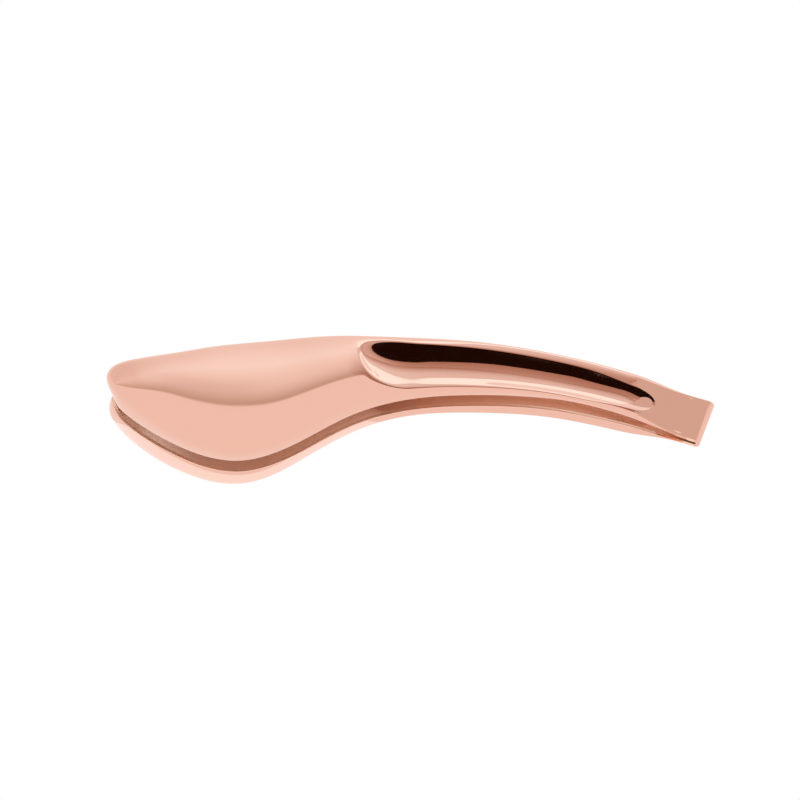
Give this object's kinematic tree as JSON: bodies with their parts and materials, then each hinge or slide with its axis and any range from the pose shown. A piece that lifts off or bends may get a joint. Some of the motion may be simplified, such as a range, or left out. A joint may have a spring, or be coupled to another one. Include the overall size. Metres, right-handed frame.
{
  "type": "spring tongs",
  "caption": "Spring tongs of polished rose-gold sheet: mirrored arms with leaf-shaped hollow jaws and grooved curved handles, joined by a tight U-fold at the heel.",
  "frame": {"origin": "under the middle of the part, level with the lowest point of the lower arm", "axes": "+X from the jaw tips to the folded heel, +Y across the arms towards their straighter back edge, +Z the way the jaws open, upper arm on top"},
  "size_m": [0.1594, 0.0384, 0.0252],
  "materials": {
    "upper_arm": "mirror-polished stainless steel with a rose-gold PVD coating",
    "lower_arm": "mirror-polished stainless steel with a rose-gold PVD coating",
    "heel_fold": "mirror-polished stainless steel with a rose-gold PVD coating"
  },
  "bodies": {
    "lower": {"lower_arm": "lower_arm", "heel_fold": "heel_fold"},
    "upper": {"upper_arm": "upper_arm"}
  },
  "joints": [
    {"name": "squeeze", "type": "hinge", "parent": "lower", "child": "upper", "pos_m": [0.07618, -0.00536, 0.01259], "axis": [0.3309, 0.9437, 0], "range_deg": [-1.5, 6], "stiffness_Nm_per_rad": 8}
  ]
}
